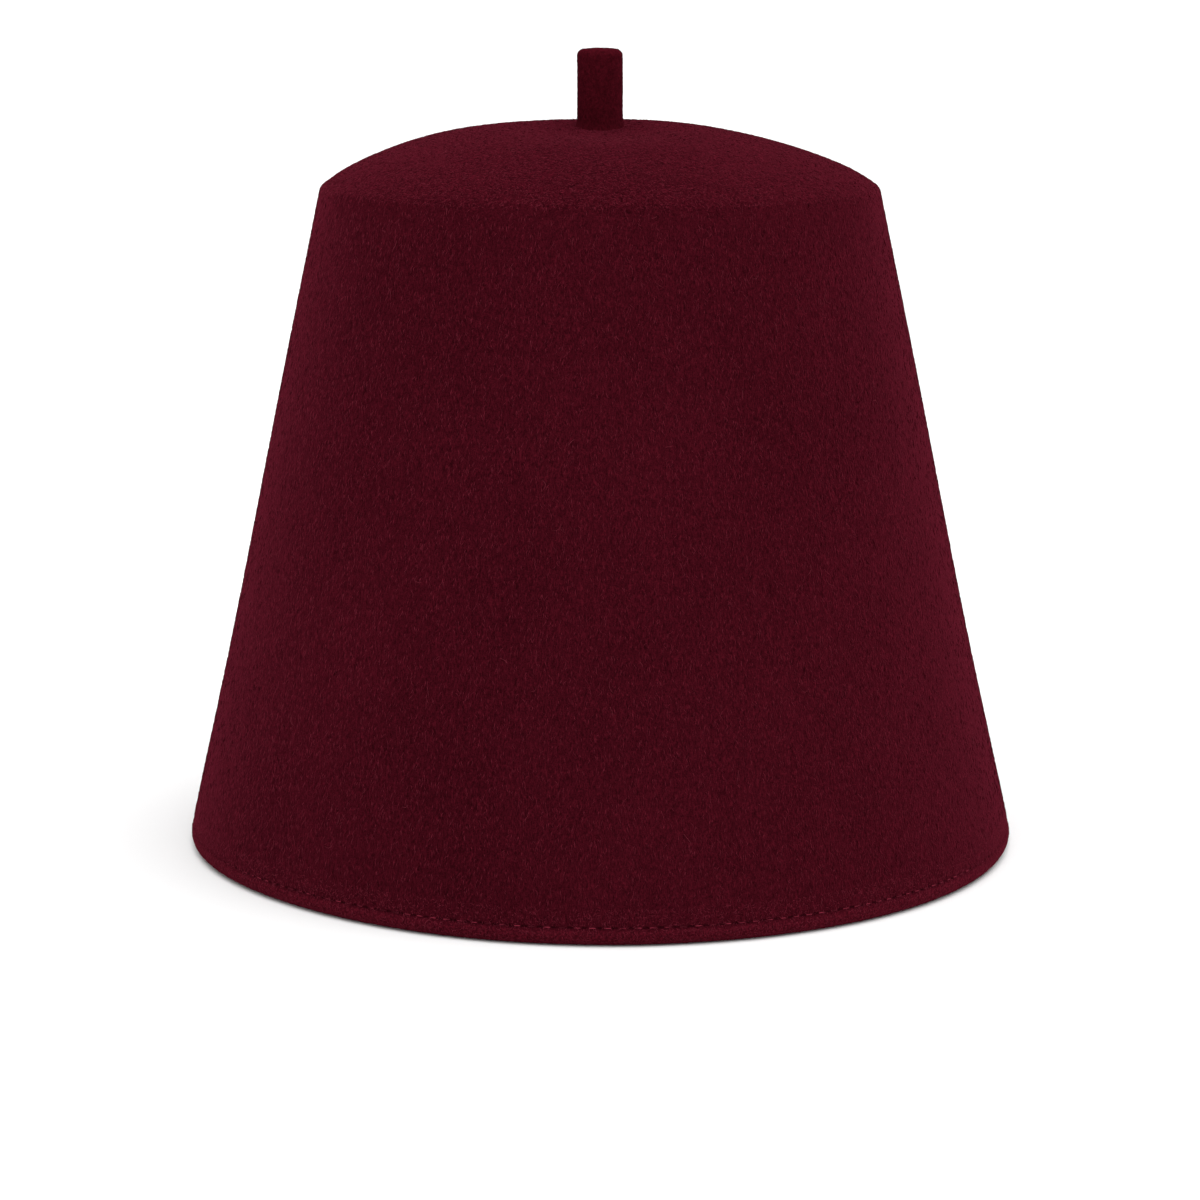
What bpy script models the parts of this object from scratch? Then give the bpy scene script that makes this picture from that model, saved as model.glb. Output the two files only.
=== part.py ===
"""A fez: one blocked felt body, its edge folded in, and a short felt stem through the crown.

Metres, +Z up. The hat stands on its folded edge with the middle of the rim at the origin, and its
front faces -Y. Each upright half section of the body is worked out for its own direction round the
hat, because the rim is an oval and the crown is nearly round.
"""

import math

import bmesh
import bpy
from mathutils import Vector
from mathutils.geometry import interpolate_bezier

# Body: outer sizes
RIM_WIDTH = 0.1800
RIM_DEPTH = 0.2016
CROWN_WIDTH = 0.1195
CROWN_DEPTH = 0.1232
SHOULDER_HEIGHT = 0.1411
CROWN_RISE = 0.0130
SHOULDER_RADIUS = 0.0085
SIDE_HOLLOW = 0.0006

# Body: felt and folded edge
FELT_THICKNESS = 0.0022
HEM_ROLL_RADIUS = 0.0024
HEM_LAND = 0.0009
HEM_INNER_RADIUS = 0.0016
TURN_UP_HEIGHT = 0.0110
RAW_EDGE_ROUNDING = 0.0006

# Stem: a felt nub whose tail goes down through the crown
STEM_DIAMETER = 0.0097
STEM_HEIGHT = 0.0151
STEM_TOP_ROUNDING = 0.0013
STEM_TOP_DOME = 0.0002
STEM_TAIL_DIAMETER = 0.0076
SEAT_GAP = 0.0003

# How square the oval is (2 is a plain ellipse), and how the crown's curve tightens to its edge
OVAL_POWER = 2.05
CROWN_POWER = 2.55

# How finely the faces follow the felt
BODY_SIDES = 72
STEM_SIDES = 28
CROWN_ROWS = 8
SHOULDER_ROWS = 4
SIDE_ROWS = 6
HEM_ROLL_ROWS = 5
HEM_INNER_ROWS = 3
RAW_EDGE_ROWS = 2
STEM_TOP_ROWS = 4
SHARP_ANGLE = math.radians(50)
WELD = 1e-6

# Where the blocked side stands in or out: degrees round the hat from +X, with the front at 270, half
# the stretch of rim that it covers, height as a share of the shoulder's, and depth in felt thicknesses
SIDE_FORMS = (
    {"place": "left front rim", "direction": 220, "spread": 36, "height": 0.0, "reach": 0.7, "depth": -0.8},
    {"place": "left rim", "direction": 199, "spread": 24, "height": 0.0, "reach": 0.5, "depth": 0.3},
    {"place": "right rim", "direction": 342, "spread": 26, "height": 0.0, "reach": 0.5, "depth": 0.5},
)

# Where the crown stands up or down: the same directions, with the distance from the centre as a share
# of the crown's half size, and depth in felt thicknesses
CROWN_FORMS = (
    {"place": "left of the crown", "direction": 180, "spread": 80, "distance": 0.64, "reach": 0.5, "depth": 0.24},
    {"place": "right of the crown", "direction": 0, "spread": 80, "distance": 0.64, "reach": 0.5, "depth": -0.24},
)

# The stem's outline above its foot, as shares of its height and of its radius
STEM_SECTIONS = (
    {"place": "flared foot", "height": 0.0, "radius": 1.12},
    {"place": "above the foot", "height": 0.05, "radius": 1.03},
    {"place": "lower shaft", "height": 0.16, "radius": 0.99},
    {"place": "waist", "height": 0.62, "radius": 0.97},
    {"place": "swollen end", "height": 0.84, "radius": 1.0},
)

CROWN_TOP = SHOULDER_HEIGHT + CROWN_RISE
HOLE_RADIUS = STEM_TAIL_DIAMETER / 2 + SEAT_GAP


def half_size(angle, width, depth):
    """Distance from the middle to an oval of this width and depth, in one direction."""
    across = abs(math.cos(angle)) / (width / 2)
    along = abs(math.sin(angle)) / (depth / 2)
    return (across**OVAL_POWER + along**OVAL_POWER) ** (-1 / OVAL_POWER)


def window(distance, reach):
    """1 at no distance, falling smoothly to 0 at the reach."""
    share = min(abs(distance) / reach, 1)
    return math.cos(share * math.pi / 2) ** 2


def turn_between(angle, direction):
    """Degrees from a direction to an angle in radians, between -180 and 180."""
    return (math.degrees(angle) - direction + 180) % 360 - 180


def bend(start, heading, end, end_heading, rows):
    """A round bend from start to end: a cubic curve with the handles of an arc through that turn."""
    turn = heading.angle(end_heading)
    handle = (end - start).length * math.tan(turn / 4) / math.sin(turn / 2) * 2 / 3
    return interpolate_bezier(start, start + heading * handle, end - end_heading * handle, end, rows + 1)


def side_point(height, rim_half, crown_half):
    """The side line at a height: a straight taper, drawn in a little half way up."""
    share = height / SHOULDER_HEIGHT
    hollow = SIDE_HOLLOW * 4 * share * (1 - share)
    return Vector((rim_half + (crown_half - rim_half) * share - hollow, height))


def crown_point(radius, crown_half):
    """The crown line at a distance from the centre: a dome that tightens to its edge."""
    return Vector((radius, CROWN_TOP - CROWN_RISE * (radius / crown_half) ** CROWN_POWER))


def heading_of(line, place, step):
    """Unit direction of a line there, for a small step along it."""
    return (line(place + step) - line(place - step)).normalized()


def outer_line(rim_half, crown_half):
    """Outer face from the hole's edge over the crown and shoulder, down the side to the turn-up's height."""

    def side(height):
        return side_point(height, rim_half, crown_half)

    def crown(radius):
        return crown_point(radius, crown_half)

    step = SHOULDER_RADIUS / 100
    outwards = heading_of(crown, crown_half, step)
    downwards = -heading_of(side, SHOULDER_HEIGHT, step)
    reach = SHOULDER_RADIUS * math.tan(outwards.angle(downwards) / 2)
    crown_end = crown_half + outwards.x * -reach
    side_start = SHOULDER_HEIGHT + downwards.y * reach
    spread = (crown_end - HOLE_RADIUS) / CROWN_ROWS
    drop = (side_start - TURN_UP_HEIGHT) / SIDE_ROWS
    points = [crown(HOLE_RADIUS + spread * row) for row in range(CROWN_ROWS)]
    points += bend(
        crown(crown_end),
        heading_of(crown, crown_end, step),
        side(side_start),
        -heading_of(side, side_start, step),
        SHOULDER_ROWS,
    )
    points += [side(side_start - drop * (row + 1)) for row in range(SIDE_ROWS)]
    return points


def offset_line(points, distance):
    """The same line moved inwards, square to itself."""
    last = len(points) - 1
    moved = []
    for index, point in enumerate(points):
        along = points[min(index + 1, last)] - points[max(index - 1, 0)]
        inwards = Vector((along.y, -along.x)).normalized()
        moved.append(point + inwards * distance)
    return moved


def hem_line(outer, inner, rim_half, crown_half):
    """The folded edge: outer roll, flat land, inner roll, turn-up and its raw edge."""
    floor_side = side_point(0, rim_half, crown_half)
    downwards = (floor_side - outer[-1]).normalized()
    inwards = Vector((-1, 0))
    upwards = Vector((0, 1))
    reach = HEM_ROLL_RADIUS * math.tan(downwards.angle(inwards) / 2)
    roll_start = floor_side - downwards * reach
    land_start = floor_side + inwards * reach
    land_end = land_start + inwards * HEM_LAND
    fold_end = land_end + (inwards + upwards) * HEM_INNER_RADIUS

    through = (inner[-1] - outer[-1]).normalized()
    along_wall = (outer[-1] - outer[-2]).normalized()
    edge_end = inner[-1] + through * (FELT_THICKNESS - RAW_EDGE_ROUNDING)
    edge_start = inner[-1] + through * FELT_THICKNESS + along_wall * RAW_EDGE_ROUNDING

    points = bend(roll_start, downwards, land_start, inwards, HEM_ROLL_ROWS)
    points += bend(land_end, inwards, fold_end, upwards, HEM_INNER_ROWS)
    points += bend(edge_start, -along_wall, edge_end, -through, RAW_EDGE_ROWS)
    return points


def body_section(angle):
    """The felt's closed section in one direction round the hat, as radius and height."""
    rim_half = half_size(angle, RIM_WIDTH, RIM_DEPTH)
    crown_half = half_size(angle, CROWN_WIDTH, CROWN_DEPTH)
    outer = outer_line(rim_half, crown_half)
    inner = offset_line(outer, FELT_THICKNESS)
    inner[0].x = HOLE_RADIUS
    section = outer + hem_line(outer, inner, rim_half, crown_half) + inner[::-1]
    return [formed(point, angle, crown_half) for point in section]


def formed(point, angle, crown_half):
    """The point after the soft forms of the side and of the crown."""
    radius, height = point
    for form in SIDE_FORMS:
        share = window(height / SHOULDER_HEIGHT - form["height"], form["reach"])
        share *= window(turn_between(angle, form["direction"]), form["spread"])
        radius += form["depth"] * FELT_THICKNESS * share
    for form in CROWN_FORMS:
        share = window(point.x / crown_half - form["distance"], form["reach"])
        share *= window(turn_between(angle, form["direction"]), form["spread"])
        share *= window(CROWN_TOP - point.y, SHOULDER_HEIGHT / 2)
        height += form["depth"] * FELT_THICKNESS * share
    return Vector((radius, height))


def stem_section(_angle):
    """Half section of the stem from its tail's end to its top, both on the axis."""
    tail = STEM_TAIL_DIAMETER / 2
    seat = CROWN_TOP + SEAT_GAP
    radius = STEM_DIAMETER / 2
    shaft = [
        Vector((radius * section["radius"], seat + STEM_HEIGHT * section["height"])) for section in STEM_SECTIONS
    ]
    top = seat + STEM_HEIGHT
    corner_start = Vector((radius, top - STEM_TOP_DOME - STEM_TOP_ROUNDING))
    corner_end = Vector((radius - STEM_TOP_ROUNDING, top - STEM_TOP_DOME))
    corner = bend(corner_start, Vector((0, 1)), corner_end, Vector((-1, 0)), STEM_TOP_ROWS)
    tail_end = CROWN_TOP - FELT_THICKNESS
    tail_line = [Vector((0, tail_end)), Vector((tail, tail_end)), Vector((tail, seat))]
    return tail_line + shaft + corner + [Vector((0, top))]


def felt_material(name, colour, roughness):
    """Matt wool felt."""
    material = bpy.data.materials.new(name)
    material.use_nodes = True
    shader = material.node_tree.nodes["Principled BSDF"]
    shader.inputs["Base Color"].default_value = (*colour, 1)
    shader.inputs["Roughness"].default_value = roughness
    shader.inputs["Metallic"].default_value = 0
    return material


def carried_round(name, section_at, sides, closed, material):
    """A body made by carrying a section round the Z axis; an open section begins and ends on it."""
    shape = bmesh.new()
    columns = []
    for side in range(sides):
        angle = 2 * math.pi * side / sides
        columns.append(
            [
                shape.verts.new((point.x * math.cos(angle), point.x * math.sin(angle), point.y))
                for point in section_at(angle)
            ]
        )
    rows = len(columns[0])
    for side, column in enumerate(columns):
        following = columns[(side + 1) % sides]
        for row in range(rows if closed else rows - 1):
            above = (row + 1) % rows
            shape.faces.new((column[row], following[row], following[above], column[above]))
    bmesh.ops.remove_doubles(shape, verts=shape.verts, dist=WELD)
    bmesh.ops.recalc_face_normals(shape, faces=shape.faces)
    mesh = bpy.data.meshes.new(name)
    shape.to_mesh(mesh)
    shape.free()
    mesh.materials.append(material)
    mesh.shade_smooth()
    mesh.set_sharp_from_angle(angle=SHARP_ANGLE)
    body = bpy.data.objects.new(name, mesh)
    bpy.context.scene.collection.objects.link(body)
    return body


def main():
    for old in list(bpy.data.objects):
        bpy.data.objects.remove(old)
    body_felt = felt_material("body_felt", (0.078, 0.006, 0.012), 0.95)
    stem_felt = felt_material("stem_felt", (0.058, 0.004, 0.009), 0.95)
    carried_round("felt_body", body_section, BODY_SIDES, True, body_felt)
    carried_round("stem", stem_section, STEM_SIDES, False, stem_felt)


main()
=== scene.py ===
"""The looks of a felt fez: pressed wool felt with a nap, a machine stitched folded edge and a felt stem.

Everything is in metres in the frame's own axes: +Z up, the hat's front towards -Y. Surfaces are grids
worked out with numpy. A grid has rows that run round the hat and columns that run along its section.
"""

import math

import bpy
import numpy as np
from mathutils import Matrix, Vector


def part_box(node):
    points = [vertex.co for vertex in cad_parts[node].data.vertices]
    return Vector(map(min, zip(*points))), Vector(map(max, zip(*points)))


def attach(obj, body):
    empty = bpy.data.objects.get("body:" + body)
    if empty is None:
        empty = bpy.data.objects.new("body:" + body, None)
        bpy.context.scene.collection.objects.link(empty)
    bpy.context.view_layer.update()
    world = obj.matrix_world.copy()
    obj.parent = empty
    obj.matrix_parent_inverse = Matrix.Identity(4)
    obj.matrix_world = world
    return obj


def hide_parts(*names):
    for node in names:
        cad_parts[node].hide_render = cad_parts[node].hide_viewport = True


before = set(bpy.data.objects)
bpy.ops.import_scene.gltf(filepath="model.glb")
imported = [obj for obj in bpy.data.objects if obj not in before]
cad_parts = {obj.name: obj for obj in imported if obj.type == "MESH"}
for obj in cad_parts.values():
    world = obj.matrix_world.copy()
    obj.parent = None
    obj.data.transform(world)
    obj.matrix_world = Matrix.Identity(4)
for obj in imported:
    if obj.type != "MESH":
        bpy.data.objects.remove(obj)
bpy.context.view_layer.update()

BODY_LOW, BODY_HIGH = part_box("felt_body")
STEM_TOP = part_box("stem")[1][2]
MM = 0.001

# Body: the blocked outline. The side line meets the floor a little outside the rolled edge.
ROLLED_IN = 0.9 * MM
RIM_WIDTH = BODY_HIGH[0] - BODY_LOW[0]
RIM_DEPTH = BODY_HIGH[1] - BODY_LOW[1] + 2 * ROLLED_IN
CROWN_TOP = BODY_HIGH[2]
CROWN_RISE = 13.0 * MM
CROWN_DROP = 0.85 * MM
CROWN_DROP_FROM = 0.87
SHOULDER_HEIGHT = CROWN_TOP - CROWN_RISE - CROWN_DROP
CROWN_WIDTH = 119.3 * MM
CROWN_DEPTH = 123.2 * MM
SHOULDER_RADIUS = 2.8 * MM
SHOULDER_ROWS = 11
SIDE_HOLLOW = 0.25 * MM
OVAL_POWER = 2.05
CROWN_POWER = 2.55
FELT_THICKNESS = 2.2 * MM

# Body: the folded edge, with finer rows of faces below this height
FINE_FROM = 8.5 * MM
HEM_ROLL_RADIUS = 2.4 * MM
HEM_LAND = 0.9 * MM
HEM_INNER_RADIUS = 1.6 * MM
TURN_UP_HEIGHT = 11 * MM
TURN_UP_SLACK = 0.95 * MM
RAW_EDGE_ROUNDING = 0.6 * MM
PUCKER_HEIGHT = 1.6 * MM
PUCKER_DEPTH = 0.05 * MM

# Stem: a shaft that flares at its foot, with a round top edge, a slightly domed top and a thinner tail
STEM_SIDES = 96
STEM_RADIUS = 4.85 * MM
STEM_FOOT_SPREAD = 1.08
STEM_FOOT_SUNK = 0.25 * MM
STEM_FLARE = 0.45 * MM
STEM_FLARE_HEIGHT = 0.8 * MM
STEM_UNEVEN = 0.02 * MM
STEM_CORNER = 1.5 * MM
STEM_DOME = 0.2 * MM
STEM_TAIL_RADIUS = 3.8 * MM
STEM_TAIL_SUNK = 0.3 * MM
STEM_HOLE_SLACK = 0.3 * MM

# Machine stitches round the edge. The share is thread over stitch length. In thread radii, proud is the
# range of heights above the felt, the fade is how far the thread sinks at both sides of the hat, and the
# dive is how far its ends go in. Inside the hat, the felt's map says that it is far off the seam.
STITCHES = 212
STITCH_HEIGHT = 3.75 * MM
STITCH_INSIDE_HEIGHT = 4.2 * MM
STITCH_SHARE = 0.56
STITCH_INSIDE_SHARE = 0.8
THREAD_RADIUS = 0.085 * MM
THREAD_PROUD = (-0.3, 1.0)
THREAD_FADE = 2.2
THREAD_FADE_REACH = 1.1
THREAD_DIVE = 3.2
THREAD_TWIST = 5.0
SEAM_DEPTH = 0.22 * MM
SEAM_HALF_WIDTH = 0.8 * MM
THREAD_BED = 0.8 * SEAM_DEPTH
OFF_THE_SEAM = 50.0

# Soft forms of the blocked felt: direction in degrees round from +X with the front at 270, half its
# spread, height and reach as shares of the shoulder height, and depth outwards
SIDE_FORMS = (
    {"direction": 236, "spread": 44, "height": 0.0, "reach": 0.5, "depth": -1.4 * MM},
    {"direction": 203, "spread": 34, "height": 0.0, "reach": 0.35, "depth": 0.6 * MM},
    {"direction": 326, "spread": 48, "height": 0.0, "reach": 0.35, "depth": 1.2 * MM},
    {"direction": 280, "spread": 40, "height": 0.0, "reach": 0.35, "depth": 0.4 * MM},
    {"direction": 90, "spread": 70, "height": 0.3, "reach": 0.4, "depth": -0.8 * MM},
    {"direction": 270, "spread": 400, "height": 0.72, "reach": 0.4, "depth": 0.3 * MM},
)
# The same for the crown, with distance and reach as shares of its half size, and depth upwards
CROWN_FORMS = (
    {"direction": 180, "spread": 80, "distance": 0.64, "reach": 0.5, "depth": 0.53 * MM},
    {"direction": 0, "spread": 80, "distance": 0.64, "reach": 0.5, "depth": -0.53 * MM},
)
# Shallow hollow in the crown, just in front of the stem: its middle, half width and depth
STEM_HOLLOW_MIDDLE = (0.0, -14 * MM)
STEM_HOLLOW_REACH = 27 * MM
STEM_HOLLOW_DEPTH = 2.4 * MM

# Colours, as linear red, green and blue
FELT_RED = (0.0435, 0.003, 0.0066)
STEM_RED = (0.046, 0.0029, 0.0061)
THREAD_RED = (0.125, 0.013, 0.024)
# Loose fibres are real, but their colour is brighter than the felt's: a painted highlight of fibres
# catching the light
HAIR_HIGHLIGHT_RED = (0.155, 0.0165, 0.031)
STRAY_RED = (0.19, 0.028, 0.045)
FLOOR_PALENESS = (0.84, 0.84, 0.84, 1)
LOW_SKY_PALENESS = (1.02, 1.02, 1.02, 1)
HIGH_SKY_PALENESS = (0.68, 0.68, 0.68, 1)

# Camera: focal length and frame in pixels
FOCAL_PIXELS = 3571.0
FRAME_PIXELS = 1200.0
CAMERA_PLACE = (0, -0.768, 0.190)
CAMERA_LOOKS_DOWN = 10.32


def half_size(angle, width, depth):
    """Oval: radius = ((|cos| / half width)^p + (|sin| / half depth)^p)^(-1/p)."""
    across = np.abs(np.cos(angle)) / (width / 2)
    along = np.abs(np.sin(angle)) / (depth / 2)
    return (across**OVAL_POWER + along**OVAL_POWER) ** (-1 / OVAL_POWER)


def window(distance, reach):
    """Cosine squared of a quarter turn times distance / reach: 1 in the middle, 0 from the reach on."""
    return np.cos(np.clip(np.abs(distance) / reach, 0, 1) * math.pi / 2) ** 2


def unit(vectors):
    """Vectors divided by their length."""
    return vectors / np.linalg.norm(vectors, axis=-1, keepdims=True)


def side_line(height, rim_half, crown_half):
    """Radius = rim + (crown - rim) * share - 4 * hollow * share * (1 - share), where share = height /
    shoulder height."""
    share = height / SHOULDER_HEIGHT
    radius = rim_half + (crown_half - rim_half) * share - SIDE_HOLLOW * 4 * share * (1 - share)
    return np.stack([radius, height + 0 * radius], axis=-1)


def crown_line(radius, crown_half):
    """Height = top - rise * share^power - drop * late^2, where share = radius / crown half size and late
    runs from 0 to 1 over the last of it."""
    share = radius / crown_half
    late = np.clip((share - CROWN_DROP_FROM) / (1 - CROWN_DROP_FROM), 0, 1)
    height = CROWN_TOP - CROWN_RISE * share**CROWN_POWER - CROWN_DROP * late**2
    return np.stack([radius, height], axis=-1)


def bend(start, heading, end, end_heading, rows):
    """Cubic Bezier: sum of the Bernstein weights of start, two handles and end. Each handle's length is
    2/3 * chord * tan(turn / 4) / sin(turn / 2), as for an arc."""
    turn = np.arccos(np.clip((heading * end_heading).sum(-1, keepdims=True), -1, 1))
    chord = np.linalg.norm(end - start, axis=-1, keepdims=True)
    handle = chord * np.tan(turn / 4) / np.sin(turn / 2) * 2 / 3
    t = np.linspace(0, 1, rows + 1).reshape((-1,) + (1,) * start.ndim)
    near = start + heading * handle
    far = end - end_heading * handle
    return (1 - t) ** 3 * start + 3 * (1 - t) ** 2 * t * near + 3 * (1 - t) * t**2 * far + t**3 * end


def inwards_of(points):
    """Unit normal of each section line, to its inner side: its tangent along the rows, turned by a
    quarter."""
    along = np.gradient(points, axis=0)
    return unit(np.stack([along[..., 1], -along[..., 0]], axis=-1))


def formed(points, angle, crown_half):
    """Adds the soft forms: depth * window(direction) * window(height or distance) to radius or height."""
    radius, height = points[..., 0].copy(), points[..., 1].copy()
    share = height / SHOULDER_HEIGHT
    distance = radius / crown_half
    for form in SIDE_FORMS:
        turn = (np.degrees(angle) - form["direction"] + 180) % 360 - 180
        near = window(share - form["height"], form["reach"]) * window(turn, form["spread"])
        radius += form["depth"] * near
    top = window(CROWN_TOP - height, SHOULDER_HEIGHT / 2)
    for form in CROWN_FORMS:
        turn = (np.degrees(angle) - form["direction"] + 180) % 360 - 180
        near = window(distance - form["distance"], form["reach"]) * window(turn, form["spread"])
        height += form["depth"] * near * top
    across = radius * np.cos(angle) - STEM_HOLLOW_MIDDLE[0]
    along = radius * np.sin(angle) - STEM_HOLLOW_MIDDLE[1]
    height -= STEM_HOLLOW_DEPTH * window(np.hypot(across, along), STEM_HOLLOW_REACH) * top
    return np.stack([radius, height], axis=-1)


def rounded(points, angle):
    """Section points (radius, height) carried round: x = radius * cos, y = radius * sin, z = height."""
    x = points[..., 0] * np.cos(angle)
    y = points[..., 0] * np.sin(angle)
    return np.stack([x, y, points[..., 1]], axis=-1)


def body_section(angle):
    """The felt's closed section at each angle, as rows of (radius, height), with the first row of each
    of its stretches: side, edge (the finer rows near the seam) and fold. It is the crown line, a bend,
    the side line, a roll under the edge, the fold and turn-up, and the outer lines plus normal * felt
    thickness."""
    rim_half = half_size(angle, RIM_WIDTH, RIM_DEPTH)
    crown_half = half_size(angle, CROWN_WIDTH, CROWN_DEPTH)
    hole = STEM_TAIL_RADIUS + STEM_HOLE_SLACK
    slope = (CROWN_RISE * CROWN_POWER + 2 * CROWN_DROP / (1 - CROWN_DROP_FROM)) / crown_half
    outwards = unit(np.stack([np.ones_like(slope), -slope], axis=-1))
    taper = (rim_half - crown_half - 4 * SIDE_HOLLOW) / SHOULDER_HEIGHT
    downwards = unit(np.stack([taper, -np.ones_like(taper)], axis=-1))
    half_turn = np.arccos((outwards * downwards).sum(-1)) / 2
    reach = SHOULDER_RADIUS * np.tan(half_turn)
    crown_end = crown_half - outwards[..., 0] * reach
    side_start = SHOULDER_HEIGHT + downwards[..., 1] * reach

    shares = np.linspace(0, 1, 23)[:-1, None]
    crown = crown_line(hole + (crown_end - hole) * shares, crown_half)
    shoulder_top = crown_line(crown_end, crown_half)
    shoulder_foot = side_line(side_start, rim_half, crown_half)
    shoulder = bend(shoulder_top, outwards, shoulder_foot, downwards, SHOULDER_ROWS)
    shares = np.linspace(0, 1, 13)[1:, None]
    side = side_line(side_start + (FINE_FROM - side_start) * shares, rim_half, crown_half)

    floor_side = side_line(0 * rim_half, rim_half, crown_half)
    down_at_floor = unit(floor_side - side_line(0 * rim_half + MM, rim_half, crown_half))
    inwards = np.array([-1.0, 0.0]) + 0 * floor_side
    upwards = np.array([0.0, 1.0]) + 0 * floor_side
    half_turn = np.arccos((down_at_floor * inwards).sum(-1, keepdims=True)) / 2
    reach = HEM_ROLL_RADIUS * np.tan(half_turn)
    roll_start = floor_side - down_at_floor * reach
    shares = np.linspace(0, 1, 15)[1:-1, None]
    fine = side_line(FINE_FROM + (roll_start[..., 1] - FINE_FROM) * shares, rim_half, crown_half)
    roll = bend(roll_start, down_at_floor, floor_side + inwards * reach, inwards, 10)
    land_end = roll[-1] + inwards * HEM_LAND
    fold = bend(land_end, inwards, land_end + (inwards + upwards) * HEM_INNER_RADIUS, upwards, 5)
    outer = np.concatenate([crown, shoulder, side, fine])

    wall = np.concatenate([crown[::2], shoulder[::2], side[:-2]])
    inner = wall + inwards_of(wall) * FELT_THICKNESS
    inner[0, :, 0] = hole
    turned = side_line(TURN_UP_HEIGHT + 0 * rim_half, rim_half, crown_half)
    through = inwards_of(np.stack([turned - down_at_floor * MM, turned]))[0]
    wall_foot = turned + through * FELT_THICKNESS
    edge_end = wall_foot + through * (FELT_THICKNESS - RAW_EDGE_ROUNDING)
    edge_start = wall_foot + through * FELT_THICKNESS + down_at_floor * RAW_EDGE_ROUNDING
    shares = np.linspace(0, 1, 10)[1:-1, None, None]
    turn_up = fold[-1] + (edge_start - fold[-1]) * shares
    raw_edge = bend(edge_start, -down_at_floor, edge_end, -through, 4)
    section = np.concatenate([outer, roll, fold, turn_up, raw_edge, wall_foot[None], inner[::-1]])
    side_first = len(crown) + len(shoulder)
    starts = {"side": side_first, "edge": side_first + len(side), "fold": len(outer) + len(roll)}
    return formed(section, angle, crown_half), starts


def grid_faces(rows, columns, closed_rows, closed_columns):
    """Quads between neighbours of a grid, with indices row * columns + column."""
    row = np.arange(rows if closed_rows else rows - 1)
    column = np.arange(columns if closed_columns else columns - 1)
    row, column = (part.ravel() for part in np.meshgrid(row, column, indexing="ij"))
    below, beside = (row + 1) % rows, (column + 1) % columns
    here, down = row * columns, below * columns
    return np.stack([here + column, down + column, down + beside, here + beside], axis=1)


def mesh_piece(name, points, faces, material, uv=None, sharp=60):
    """A mesh object at the origin, from points and faces that all have the same number of corners. It
    rides on the one body."""
    mesh = bpy.data.meshes.new(name)
    corners = faces.shape[1]
    mesh.vertices.add(len(points))
    mesh.vertices.foreach_set("co", np.ascontiguousarray(points, np.float32).ravel())
    mesh.loops.add(faces.size)
    mesh.loops.foreach_set("vertex_index", np.ascontiguousarray(faces, np.int32).ravel())
    mesh.polygons.add(len(faces))
    mesh.polygons.foreach_set("loop_start", np.arange(len(faces), dtype=np.int32) * corners)
    mesh.update(calc_edges=True)
    if uv is not None:
        layer = mesh.uv_layers.new(name="felt_map")
        layer.data.foreach_set("uv", np.ascontiguousarray(uv, np.float32).ravel())
    mesh.shade_smooth()
    mesh.set_sharp_from_angle(angle=math.radians(sharp))
    mesh.materials.append(material)
    piece = bpy.data.objects.new(name, mesh)
    bpy.context.scene.collection.objects.link(piece)
    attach(piece, "root")
    return piece


class Shade:
    """One output of a shader node. Arithmetic on shades adds Math nodes."""

    def __init__(self, tree, socket=None):
        self.tree = tree
        self.socket = socket

    def add(self, kind, settings=None, sockets=None, output=0):
        """Adds a node: its settings first, then a value or a shade for each named socket."""
        node = self.tree.nodes.new(kind)
        for name, value in (settings or {}).items():
            setattr(node, name, value)
        for name, value in (sockets or {}).items():
            if isinstance(value, Shade):
                self.tree.links.new(value.socket, node.inputs[name])
            else:
                node.inputs[name].default_value = value
        return Shade(self.tree, node.outputs[output])

    def math(self, operation, first, second=0.0):
        """Adds a Math node."""
        return self.add("ShaderNodeMath", {"operation": operation}, {0: first, 1: second})

    def __add__(self, other):
        return self.math("ADD", self, other)

    def __radd__(self, other):
        return self.math("ADD", other, self)

    def __sub__(self, other):
        return self.math("SUBTRACT", self, other)

    def __rsub__(self, other):
        return self.math("SUBTRACT", other, self)

    def __mul__(self, other):
        return self.math("MULTIPLY", self, other)

    def __rmul__(self, other):
        return self.math("MULTIPLY", other, self)

    def between(self, low, high, start=0.0, end=1.0):
        """Smooth step from start to end as this value goes from low to high."""
        values = {"Value": self, "From Min": low, "From Max": high, "To Min": start, "To Max": end}
        return self.add("ShaderNodeMapRange", {"interpolation_type": "SMOOTHSTEP"}, values)


def place_of(shade):
    """Object coordinates in metres, and their x, y and z."""
    place = shade.add("ShaderNodeTexCoord", output=3)
    parts = [shade.add("ShaderNodeSeparateXYZ", sockets={0: place}, output=part) for part in range(3)]
    return place, parts


def fibres(shade, place, size, detail=2.0, roughness=0.55, distortion=0.0):
    """Noise with grains of this size in metres along x, y and z."""
    scale = tuple(1 / length for length in size)
    stretched = shade.add("ShaderNodeMapping", sockets={"Vector": place, "Scale": scale})
    values = {
        "Vector": stretched,
        "Scale": 1.0,
        "Detail": detail,
        "Roughness": roughness,
        "Distortion": distortion,
    }
    return shade.add("ShaderNodeTexNoise", sockets=values)


def mixed(shade, factor, first, second):
    """Colour mixed from first to second."""
    return shade.add("ShaderNodeMix", {"data_type": "RGBA"}, {0: factor, 6: first, 7: second}, output=2)


def shades_of(colour, factor):
    """The colour with its parts multiplied, as an opaque colour."""
    return tuple(part * factor for part in colour) + (1.0,)


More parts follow.
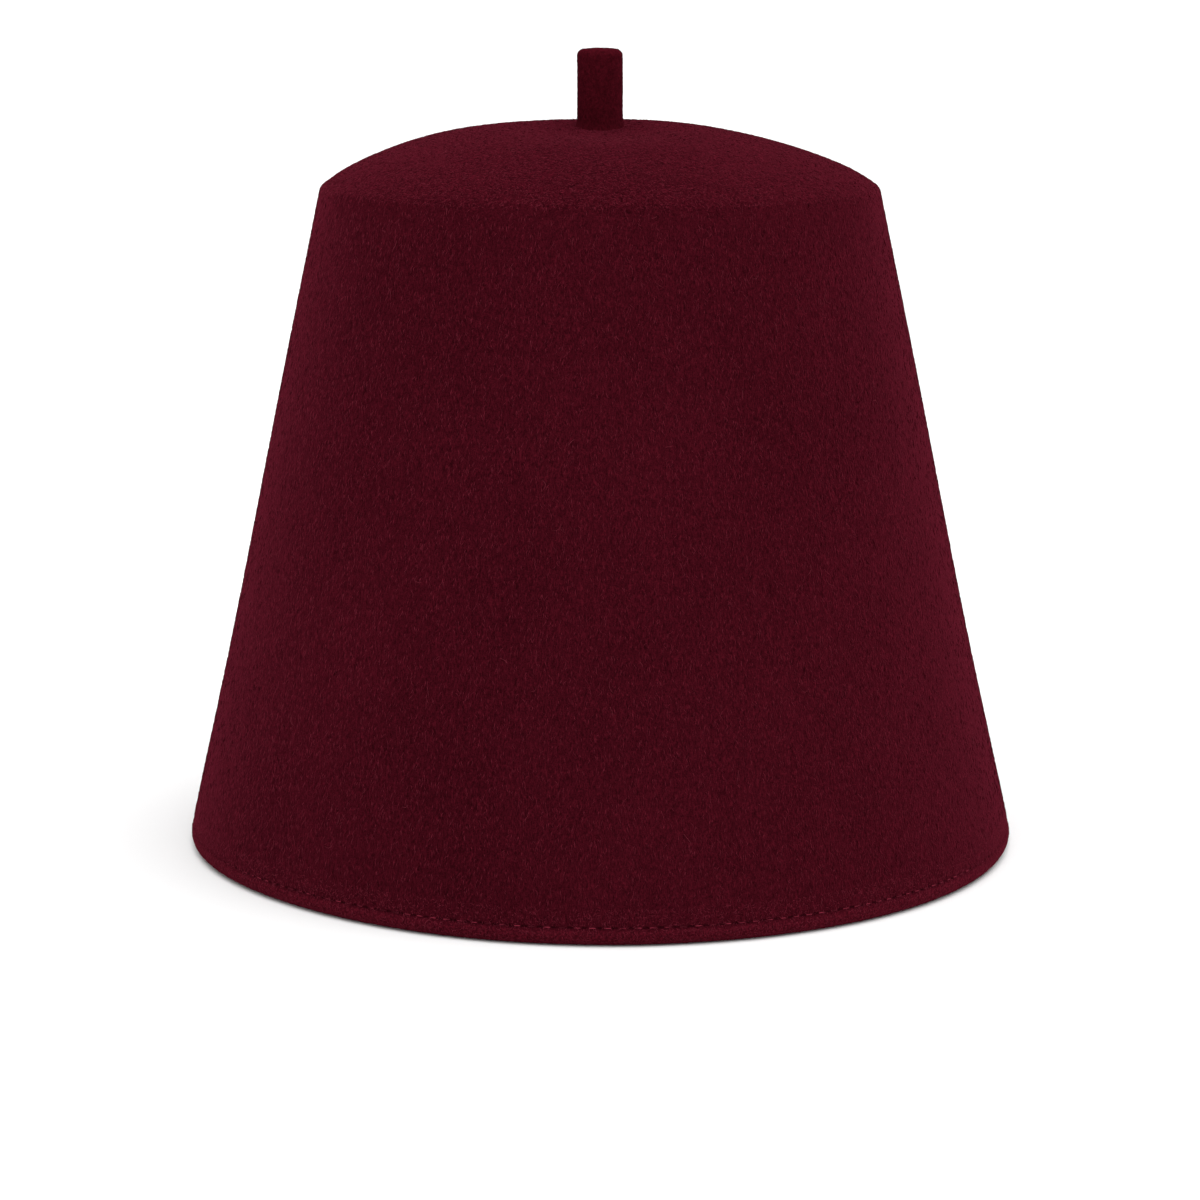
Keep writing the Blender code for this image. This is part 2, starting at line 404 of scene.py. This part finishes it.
def new_material(name, roughness, sheen, sheen_roughness, sheen_tint):
    """A matt material with a Principled shader, whose constant values sit on its own sockets."""
    material = bpy.data.materials.new(name)
    material.use_nodes = True
    shader = material.node_tree.nodes["Principled BSDF"]
    shader.inputs["Roughness"].default_value = roughness
    shader.inputs["Sheen Weight"].default_value = sheen
    shader.inputs["Sheen Roughness"].default_value = sheen_roughness
    shader.inputs["Sheen Tint"].default_value = sheen_tint
    shader.inputs["Specular IOR Level"].default_value = 0.0
    return material, shader, Shade(material.node_tree)


def connect(shader, socket, shade):
    """Links a shade to a socket of the Principled shader."""
    shade.tree.links.new(shade.socket, shader.inputs[socket])


def strokes(shade, place, size, thinness, distortion=0.3):
    """Thin bright lines where a stretched noise crosses its middle: smooth step of 1 - thinness *
    |noise - 0.5|."""
    noise = fibres(shade, place, size, 0.0, distortion=distortion)
    return (1 - thinness * shade.math("ABSOLUTE", noise - 0.5)).between(0.0, 1.0)


def pressed_felt(name, colour):
    """Pressed wool felt: upright nap on the side, matted nap on the crown, and a seam groove with stitch
    holes at the edge. Base colour = dark to light by tone = 0.37 + nap + grain + clouds + patches +
    hairs, each less its middle and times its strength, plus painted light that makes the crown lighter,
    less a little across its middle; then painted shade in pits, in the seam's groove and in the needle
    holes, and painted light on the strip below the seam."""
    material, shader, shade = new_material(name, 0.95, 0.135, 0.3, (1.0, 0.1, 0.21, 1))
    place, (across, depth, height) = place_of(shade)
    on_crown = height.between(SHOULDER_HEIGHT - 7 * MM, SHOULDER_HEIGHT + 1 * MM)
    upright = fibres(shade, place, (0.22 * MM, 0.34 * MM, 0.85 * MM), 2.0, 0.66, 0.5)
    matted = fibres(shade, place, (0.42 * MM, 1.5 * MM, 0.38 * MM), 3.0, 0.66, 0.8)
    nap = upright * (1 - on_crown) + (0.5 + (matted - 0.5) * 1.35) * on_crown
    upright_hairs = strokes(shade, place, (0.42 * MM, 0.65 * MM, 1.8 * MM), 10.0, 0.6)
    matted_hairs = strokes(shade, place, (0.9 * MM, 3.0 * MM, 0.8 * MM), 12.0, 1.0)
    hairs = upright_hairs * (1 - on_crown) + matted_hairs * on_crown
    broken = fibres(shade, place, (1.1 * MM, 1.1 * MM, 1.6 * MM), 1.0).between(0.42, 0.6)
    hairs = hairs * (0.4 + broken * 0.6)
    grain = fibres(shade, place, (0.17 * MM, 0.2 * MM, 0.2 * MM), 1.0)
    clouds = fibres(shade, place, (42 * MM, 42 * MM, 58 * MM), 2.0)
    patches = fibres(shade, place, (6 * MM, 6 * MM, 10 * MM), 2.0)
    # 1 across the middle of the hat, fading out by 34 mm to either side of x = 0: there the crown's tone is
    # a little darker and its shaded pits stronger
    middle_strip = shade.math("ABSOLUTE", across).between(34 * MM, 4 * MM)
    tone = 0.37 + (nap - 0.5) * 1.2 + (grain - 0.5) * 1.1 + (clouds - 0.5) * 0.25 + (patches - 0.5) * 0.1
    # on_crown * 0.05 is painted light: the crown's top is made lighter, as the overhead light makes it
    tone = tone + hairs * 0.36 + on_crown * 0.05 - middle_strip * on_crown * 0.03
    side_specks = fibres(shade, place, (0.55 * MM, 0.55 * MM, 0.7 * MM), 0.0).between(0.27, 0.19)
    crown_specks = fibres(shade, place, (0.75 * MM, 2.6 * MM, 0.55 * MM), 0.0, distortion=0.5)
    crown_specks = crown_specks.between(0.34, 0.2)
    # Painted shade in the felt's pits: dark specks on the side, and stronger stretched ones on the crown,
    # where the colour goes towards 0.3 of the felt's
    shaded_pits = side_specks * 0.3 * (1 - on_crown) + crown_specks * on_crown * (0.5 + middle_strip * 0.5)
    base = mixed(shade, tone.between(0.0, 1.0), shades_of(colour, 0.45), shades_of(colour, 1.65))
    base = mixed(shade, shaded_pits * 0.75, base, shades_of(colour, 0.3))

    seam = shade.add("ShaderNodeUVMap", {"uv_map": "felt_map"})
    along = shade.add("ShaderNodeSeparateXYZ", sockets={0: seam}, output=0)
    up = shade.add("ShaderNodeSeparateXYZ", sockets={0: seam}, output=1)
    phase = shade.math("ABSOLUTE", shade.math("FRACT", along) - 0.5)
    gap = phase.between(STITCH_SHARE / 2 - 0.02, STITCH_SHARE / 2 + 0.06)
    near_line = shade.math("ABSOLUTE", up).between(0.34, 0.1)
    clear = shade.math("ABSOLUTE", depth).between(35 * MM, 66 * MM)
    # Painted shade in the needle holes between the thread's dashes, at the front and back: the colour goes
    # dark there
    hole = gap * near_line * clear
    # Painted shade along the seam's groove: a thin dark line mixed into the colour, on top of the groove's
    # real dip
    seam_groove_shade = shade.math("ABSOLUTE", up).between(0.26, 0.06) * (0.3 + broken * 0.5 + clear * 0.2)
    # Painted light on the strip below the seam, which the rolled edge turns down into shade: the colour is
    # mixed lighter in a mottled pattern, less at the sides
    hem_light_mottle = fibres(shade, place, (0.45 * MM, 0.6 * MM, 0.45 * MM), 1.0).between(0.44, 0.64)
    hem_painted_light = up.between(-0.3, -0.8) * (0.1 + hem_light_mottle * 0.85) * (0.4 + clear * 0.6)
    base = mixed(shade, hem_painted_light, base, shades_of(colour, 1.8))
    base = mixed(shade, seam_groove_shade * 0.6, base, shades_of(colour, 0.3))
    base = mixed(shade, hole * 0.45, base, shades_of(colour, 0.16))
    connect(shader, "Base Color", base)
    relief = nap * 0.8 + hairs * 0.35 + grain * 0.3 - shaded_pits * 0.5 - hole * 0.9
    bump = shade.add("ShaderNodeBump", sockets={"Strength": 0.6, "Distance": 0.3 * MM, "Height": relief})
    connect(shader, "Normal", bump)
    return material


def stem_felt_finish(name, colour):
    """Rolled felt of the stem: finer matted nap, darker."""
    material, shader, shade = new_material(name, 0.95, 0.03, 0.5, (1.0, 0.12, 0.25, 1))
    place, _ = place_of(shade)
    nap = fibres(shade, place, (0.5 * MM, 0.5 * MM, 0.8 * MM), 3.0, 0.6, 0.6)
    patches = fibres(shade, place, (3 * MM, 3 * MM, 4 * MM), 2.0)
    hairs = strokes(shade, place, (1.1 * MM, 1.1 * MM, 1.4 * MM), 12.0, 1.0)
    tone = 0.45 + (nap - 0.5) * 1.4 + (patches - 0.5) * 0.3 + hairs * 0.18
    base = mixed(shade, tone.between(0.0, 1.0), shades_of(colour, 0.5), shades_of(colour, 1.6))
    connect(shader, "Base Color", base)
    relief = nap * 0.8 + hairs * 0.3
    bump = shade.add("ShaderNodeBump", sockets={"Strength": 0.6, "Distance": 0.3 * MM, "Height": relief})
    connect(shader, "Normal", bump)
    return material


def thread_finish(name, colour):
    """Spun sewing thread, a little brighter than the felt."""
    material, shader, shade = new_material(name, 0.7, 0.05, 0.4, (1.0, 0.4, 0.5, 1))
    place, _ = place_of(shade)
    spun = fibres(shade, place, (0.12 * MM, 0.12 * MM, 0.12 * MM), 2.0)
    worn = fibres(shade, place, (2.2 * MM, 2.2 * MM, 2.2 * MM), 1.0)
    tone = (spun - 0.5) * 1.2 + (worn - 0.5) * 3.0 + 0.45
    base = mixed(shade, tone.between(0.0, 1.0), shades_of(colour, 0.4), shades_of(colour, 1.7))
    connect(shader, "Base Color", base)
    return material


def plain_finish(name, colour):
    """Loose wool fibres: one even colour."""
    material, shader, _ = new_material(name, 0.9, 0.0, 0.5, (1.0, 1.0, 1.0, 1))
    shader.inputs["Base Color"].default_value = shades_of(colour, 1.0)
    return material


def felt_body(material):
    """The blocked body: the section carried round. Its outside is drawn in along the seam by depth *
    exp(-(height above it / half width)^2), more at each needle hole, and puckered below it by a cosine
    of each stitch. The map's u counts stitches round the edge, and its v is millimetres above the seam."""
    columns = STITCHES * 4
    angle = np.arange(columns) * 2 * math.pi / columns
    section, starts = body_section(angle)
    rows = len(section)
    radius, height = section[..., 0], section[..., 1]
    outside = np.arange(rows)[:, None] < starts["fold"]
    phase = np.arange(columns) / 4
    at_hole = np.where(np.arange(columns) % 4 == 0, 1.0, 0.0)[None]
    seam = np.exp(-(((height - STITCH_HEIGHT) / SEAM_HALF_WIDTH) ** 2)) * outside
    radius -= SEAM_DEPTH * seam * (0.75 + 0.6 * at_hole)
    puckered = np.exp(-(((height - PUCKER_HEIGHT) / PUCKER_HEIGHT) ** 2)) * outside
    radius += PUCKER_DEPTH * puckered * np.cos(phase * 2 * math.pi)[None]
    points = rounded(section, angle)
    faces = grid_faces(rows, columns, True, True)
    lift = np.where(outside, (height - STITCH_HEIGHT) / MM, OFF_THE_SEAM)
    column = faces[:, 0] % columns
    u = np.stack([column, column, column + 1, column + 1], axis=1) / 4
    seam_map = np.stack([u, lift.ravel()[faces]], axis=-1)
    piece = mesh_piece("felt_body_shell", points.reshape(-1, 3), faces, material, seam_map)
    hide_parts("felt_body")
    return points, starts


def stem_shell(material):
    """The stem: radius = shaft + flare * exp(-height above the foot / flare height) + slight waves round
    it, a bend to its domed top, and its tail below. Its foot follows the hollow in the crown, with
    lift = foot + (top - foot) * share. Returns the shaft's and top's rows, from the top down."""
    sides = STEM_SIDES
    angle = np.arange(sides) * 2 * math.pi / sides
    share = np.linspace(0, 1, 60)[:, None]
    foot = np.stack([STEM_RADIUS * STEM_FOOT_SPREAD + 0 * angle, CROWN_TOP + 0 * angle], axis=-1)
    foot = formed(foot, angle, half_size(angle, CROWN_WIDTH, CROWN_DEPTH))[:, 1] - STEM_FOOT_SUNK
    lift = foot + (STEM_TOP - STEM_CORNER - STEM_DOME - foot) * share
    above = lift - foot
    flare = STEM_FLARE * np.exp(-above / STEM_FLARE_HEIGHT)
    uneven = STEM_UNEVEN * (np.sin(3 * angle + 5 * share) + np.sin(5 * angle - 8 * share + 1))
    shaft = STEM_RADIUS + flare + uneven
    shaft = np.stack([shaft, lift], axis=-1)
    upwards = np.array([0.0, 1.0]) + 0 * shaft[-1]
    inwards = np.array([-1.0, 0.0]) + 0 * shaft[-1]
    corner_end = shaft[-1] + (inwards + upwards) * STEM_CORNER
    corner = bend(shaft[-1], upwards, corner_end, inwards, 10)[1:]
    shares = np.linspace(1, 0.02, 14)[1:, None]
    radius = corner[-1][None, :, 0] * shares
    domed = corner[-1][None, :, 1] + STEM_DOME * (1 - shares**2) + 0 * radius
    top = np.stack([radius, domed], axis=-1)
    tail_radius = STEM_TAIL_RADIUS + 0 * angle
    tail_end = CROWN_TOP - FELT_THICKNESS - STEM_HOLLOW_DEPTH
    shares = np.linspace(0.02, 1, 5)[:, None]
    under = np.stack([tail_radius * shares, tail_end + 0 * tail_radius * shares], axis=-1)
    tail = np.stack([tail_radius, foot - STEM_TAIL_SUNK], axis=-1)[None]
    section = np.concatenate([under, tail, shaft, corner, top])
    points = rounded(section, angle)
    rows = len(points)
    faces = grid_faces(rows, sides, False, True)[:, ::-1]
    flat = points.reshape(-1, 3)
    ends = np.array([[0, 0, tail_end], [0, 0, STEM_TOP]])
    flat = np.concatenate([flat, ends])
    column = np.arange(sides)
    beside = (column + 1) % sides
    last = (rows - 1) * sides
    bottom_cap = np.stack([column, beside, 0 * column + rows * sides], axis=1)
    top_cap = np.stack([last + beside, last + column, 0 * column + rows * sides + 1], axis=1)
    caps = [bottom_cap[:, ::-1], top_cap[:, ::-1]]
    triangles = np.concatenate([faces[:, [0, 1, 2]], faces[:, [0, 2, 3]], *caps])
    piece = mesh_piece("stem_shell", flat, triangles, material)
    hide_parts("stem")
    return points[: len(under) : -1]


def tubes(paths, radius, sides, twist=0.0, plies=0):
    """Closed thin tubes along paths (tube, point, xyz): centre + radius * (cos * across + sin * up), with
    radius times 1 + 0.16 * cos(plies * (turn - twist * place)), and each end drawn to a point."""
    along = unit(np.gradient(paths, axis=1))
    across = unit(np.cross(along, np.array([0.0, 0.0, 1.0])) + 1e-9)
    up = np.cross(across, along)
    turn = (np.arange(sides) * 2 * math.pi / sides)[None, None, :, None]
    place = np.linspace(0, 1, paths.shape[1])[None, :, None, None]
    ridge = 1 + 0.16 * np.cos(plies * (turn - twist * place)) if plies else 1 + 0 * turn
    around = np.cos(turn) * across[:, :, None] + np.sin(turn) * up[:, :, None]
    rings = paths[:, :, None] + radius[None, :, None, None] * ridge * around
    count, steps = paths.shape[:2]
    points = rings.reshape(count, -1, 3)
    ends = np.stack([paths[:, 0], paths[:, -1]], axis=1)
    points = np.concatenate([points, ends], axis=1)
    quads = grid_faces(steps, sides, False, True)
    column = np.arange(sides)
    beside = (column + 1) % sides
    last = (steps - 1) * sides
    first_cap = np.stack([beside, column, 0 * column + steps * sides], axis=1)
    last_cap = np.stack([last + column, last + beside, 0 * column + steps * sides + 1], axis=1)
    caps = [first_cap[:, ::-1], last_cap[:, ::-1]]
    triangles = np.concatenate([quads[:, [0, 2, 1]], quads[:, [0, 3, 2]], *caps])
    triangles = triangles[None] + (np.arange(count) * points.shape[1])[:, None, None]
    return points.reshape(-1, 3), triangles.reshape(-1, 3)


def stitch_row(name, material, angle_at, height, outwards, share, steps, sides, plies):
    """One thread per stitch, with u from -1 to 1 along it: it leaves the felt, lies on it and goes back
    in, with lift = thread radius * (proud - dive * |u|^5). Proud is random, less the fade times
    window(cos(2 * angle) - 1), which sinks the thread at both sides."""
    u = np.linspace(-1, 1, steps)[None, :]
    angle = angle_at[:, None] + u * share * math.pi / STITCHES
    centre = felt_surface(angle, height, outwards)
    normal = felt_normal(angle, height, outwards)
    rng = np.random.default_rng(11)
    sunk = THREAD_FADE * window(np.cos(2 * angle_at)[:, None] - 1, THREAD_FADE_REACH)
    proud = rng.uniform(*THREAD_PROUD, (STITCHES, 1)) - sunk
    lift = THREAD_RADIUS * (proud - THREAD_DIVE * np.abs(u) ** 5)
    paths = centre + normal * lift[..., None]
    thin = THREAD_RADIUS * (1 - 0.25 * np.abs(np.linspace(-1, 1, steps)) ** 3)
    points, faces = tubes(paths, thin, sides, THREAD_TWIST, plies)
    mesh_piece(name, points, faces, material)


def felt_surface(angle, height, outwards):
    """A point at each angle where a thread lies: the formed side line less the thread's bed outside, or
    less twice the felt and the turn-up's slack inside."""
    rim_half = half_size(angle, RIM_WIDTH, RIM_DEPTH)
    crown_half = half_size(angle, CROWN_WIDTH, CROWN_DEPTH)
    line = side_line(height + 0 * angle, rim_half, crown_half)
    line = formed(line, angle, crown_half)
    line[..., 0] -= THREAD_BED if outwards > 0 else 2 * FELT_THICKNESS + TURN_UP_SLACK
    return rounded(line, angle)


def felt_normal(angle, height, outwards):
    """Normal there: the cross product of small steps round and up the surface."""
    turn, rise = 1e-3, 0.5 * MM
    round_step = felt_surface(angle + turn, height, outwards) - felt_surface(angle - turn, height, outwards)
    up_step = felt_surface(angle, height + rise, outwards) - felt_surface(angle, height - rise, outwards)
    return unit(np.cross(round_step, up_step)) * outwards


def strands_on(grid, rows, count, seed, length, width, lift, spread, bow=0.2):
    """Random fibres on a stretch of a grid. Place = grid point + down * a + side * b, with a and b from 0
    to 1, and heading = cos(turn) * along the section + sin(turn) * across it, with turn spread about 0.
    Length, width and lift vary about their middle values, and the sway is bow * length * random."""
    rng = np.random.default_rng(seed)
    patch = grid[rows[0] : rows[1]]
    down = patch[1:] - patch[:-1]
    side = np.roll(patch, -1, axis=1) - patch
    cell = np.linalg.norm(np.cross(down, side[:-1]), axis=-1)
    chosen = rng.choice(cell.size, count, p=(cell / cell.sum()).ravel())
    row, column = np.unravel_index(chosen, cell.shape)
    a, b = rng.random((2, count, 1))
    place = patch[row, column] + down[row, column] * a + side[row, column] * b
    along = unit(down[row, column])
    across = unit(side[row, column])
    normal = unit(np.cross(along, across))
    turn = rng.normal(0.0, spread, (count, 1))
    heading = np.cos(turn) * along + np.sin(turn) * across
    beside = np.cross(normal, heading)
    reach = length * rng.uniform(0.6, 1.4, (count, 1))
    raised = lift * rng.uniform(0.3, 1.7, (count, 1))
    sway = bow * reach * rng.normal(0, 0.5, (count, 1))
    return place, normal, heading, beside, reach, raised, sway, width * rng.uniform(0.7, 1.3, (count, 1))


def spindles(name, fibres_at, material, tip_lift=0.3, inner=1):
    """Each fibre is a closed spindle: a pointed root, a few three sided rings and a pointed tip. Centre =
    place + heading * length * step + beside * sway * arch + normal * out, with step from -0.5 to 0.5 and
    arch = 1 - (2 * step)^2, kept above the floor. Ring = centre + width * (cos * beside + sin * normal)."""
    place, normal, heading, beside, reach, raised, sway, width = fibres_at
    steps = np.linspace(-0.5, 0.5, inner + 2)
    sunk, floor_gap = 0.06 * MM, 0.05 * MM
    centres = []
    for step in steps:
        arch = 1 - (2 * step) ** 2
        out = raised * (arch + tip_lift * (step + 0.5)) - sunk * (0.5 - step) * (1 - arch)
        centre = place + heading * reach * step + beside * sway * arch + normal * out
        centre[:, 2] = np.maximum(centre[:, 2], floor_gap + 2 * width[:, 0])
        centres.append(centre)
    turn = np.arange(3) * 2 * math.pi / 3
    around = [np.cos(angle) * beside + np.sin(angle) * normal for angle in turn]
    ring = [centre + width * spoke for centre in centres[1:-1] for spoke in around]
    points = np.stack([centres[0], *ring, centres[-1]], axis=1)
    last = points.shape[1] - 1
    faces = []
    for corner in range(3):
        following = (corner + 1) % 3
        faces.append((0, 1 + following, 1 + corner))
        for ring_index in range(inner - 1):
            here = 1 + 3 * ring_index
            faces.append((here + corner, here + following, here + 3 + following))
            faces.append((here + corner, here + 3 + following, here + 3 + corner))
        faces.append((last - 3 + corner, last - 3 + following, last))
    faces = np.array(faces)[None] + (np.arange(len(points)) * points.shape[1])[:, None, None]
    mesh_piece(name, points.reshape(-1, 3), faces.reshape(-1, 3), material, sharp=180)


def stage_and_light():
    """A wide white floor, an even white surround, and soft boxes above and at both sides."""
    bpy.ops.mesh.primitive_plane_add(size=80)
    floor = bpy.context.object
    floor.name = "floor"
    material = bpy.data.materials.new("pale_floor")
    material.use_nodes = True
    shader = material.node_tree.nodes["Principled BSDF"]
    shader.inputs["Base Color"].default_value = FLOOR_PALENESS
    shader.inputs["Roughness"].default_value = 0.9
    shader.inputs["Specular IOR Level"].default_value = 0.1
    floor.data.materials.append(material)

    scene = bpy.context.scene
    scene.view_settings.view_transform = "Standard"
    world = bpy.data.worlds.new("surround")
    world.use_nodes = True
    sky = Shade(world.node_tree)
    direction = sky.add("ShaderNodeTexCoord", output=0)
    upwards = sky.add("ShaderNodeSeparateXYZ", sockets={0: direction}, output=2)
    paleness = mixed(sky, upwards.between(0.1, 0.4), LOW_SKY_PALENESS, HIGH_SKY_PALENESS)
    world.node_tree.links.new(paleness.socket, world.node_tree.nodes["Background"].inputs["Color"])
    scene.world = world

    overhead = bpy.data.lights.new("overhead_softbox", "SUN")
    overhead.energy = 2.6
    overhead.angle = math.radians(80)
    lamp = bpy.data.objects.new("overhead_softbox", overhead)
    lamp.rotation_euler = aim((-0.12, 0.02, -1.0))
    scene.collection.objects.link(lamp)

    boxes = (
        ("left_softbox", (-1.3, -0.5, 0.6), (0, 0, 0.09), 0.9, 1.0),
        ("right_softbox", (1.3, -0.5, 0.6), (0, 0, 0.09), 0.9, 2.0),
    )
    for name, place, target, size, power in boxes:
        light = bpy.data.lights.new(name, "AREA")
        light.size = size
        light.energy = power
        lamp = bpy.data.objects.new(name, light)
        lamp.location = place
        lamp.rotation_euler = aim(np.array(target) - np.array(place))
        scene.collection.objects.link(lamp)


def aim(direction):
    """Rotation that points an object's -Z along a direction, with its X level."""
    x, y, z = direction
    return (math.atan2(math.hypot(x, y), -z), 0.0, math.atan2(y, x) - math.pi / 2)


def camera():
    """A long lens, level across, looking a little down at the hat's middle."""
    lens = bpy.data.cameras.new("camera")
    lens.sensor_width = 36
    lens.lens = FOCAL_PIXELS / FRAME_PIXELS * lens.sensor_width
    lens.clip_start = 0.01
    view = bpy.data.objects.new("camera", lens)
    view.location = CAMERA_PLACE
    view.rotation_euler = (math.radians(90 - CAMERA_LOOKS_DOWN), 0, 0)
    bpy.context.scene.collection.objects.link(view)
    bpy.context.scene.camera = view


def main():
    """Makes the materials, the body and stem, the stitches, the nap, and the stage with its camera."""
    body_finish = pressed_felt("body_felt_finish", FELT_RED)
    stem_finish = stem_felt_finish("stem_felt_finish", STEM_RED)
    thread = thread_finish("thread_finish", THREAD_RED)
    # The light nap and the stem's hairs carry a painted highlight: their colours are brighter copies of the
    # felt's
    highlit_wool = plain_finish("highlit_loose_wool", HAIR_HIGHLIGHT_RED)
    dark_wool = plain_finish("dark_wool", shades_of(FELT_RED, 0.45)[:3])
    bright_wool = plain_finish("stray_wool", STRAY_RED)
    highlit_stem_wool = plain_finish("highlit_stem_wool", shades_of(STEM_RED, 1.8)[:3])

    points, starts = felt_body(body_finish)
    shaft = stem_shell(stem_finish)

    middles = (np.arange(STITCHES) + 0.5) * 2 * math.pi / STITCHES
    stitch_row("stitches_outside", thread, middles, STITCH_HEIGHT, 1, STITCH_SHARE, 13, 9, 3)
    stitch_row("stitches_inside", thread, middles, STITCH_INSIDE_HEIGHT, -1, STITCH_INSIDE_SHARE, 9, 8, 0)

    # The naps of crown and side overlap on the shoulder, and the hem's nap starts a little above the seam
    crown_rows = (0, starts["side"] - 2)
    side_rows = (starts["side"] - 6, starts["edge"] + 2)
    hem_rows = (starts["edge"] + 2, starts["fold"])
    whole = (0, starts["fold"])
    shaft_rows = (0, len(shaft))
    on_side = (points, side_rows, "body_felt")
    on_crown = (points, crown_rows, "body_felt")
    on_hem = (points, hem_rows, "body_felt")
    on_stem = (shaft, shaft_rows, "stem_felt")
    # Count, random seed, length, width and lift in millimetres, spread in radians, and the tip's lift as
    # a share of the lift
    naps = (
        ("nap_of_side", on_side, highlit_wool, 33000, 1, 1.4, 0.037, 0.045, 0.3, 0.7),
        ("dark_nap_of_side", on_side, dark_wool, 27000, 6, 1.5, 0.04, 0.04, 0.34, 0.3),
        ("nap_of_crown", on_crown, highlit_wool, 26000, 2, 1.0, 0.042, 0.06, 1.6, 1.0),
        ("dark_nap_of_crown", on_crown, dark_wool, 12000, 7, 0.8, 0.045, 0.03, 1.6, 0.5),
        ("nap_of_edge", on_hem, highlit_wool, 13000, 3, 0.9, 0.038, 0.04, 1.3, 0.5),
        ("nap_of_stem", on_stem, highlit_stem_wool, 1500, 4, 1.1, 0.028, 0.04, 1.0, 0.3),
    )
    for name, (grid, rows, slot), finish, count, seed, length, width, lift, spread, tip_lift in naps:
        hairs = strands_on(grid, rows, count, seed, length * MM, width * MM, lift * MM, spread)
        spindles(name, hairs, finish, tip_lift)
    strays = strands_on(points, whole, 350, 5, 2.3 * MM, 0.027 * MM, 0.08 * MM, 0.8, bow=0.5)
    spindles("stray_hairs", strays, bright_wool, inner=3)

    stage_and_light()
    camera()


main()
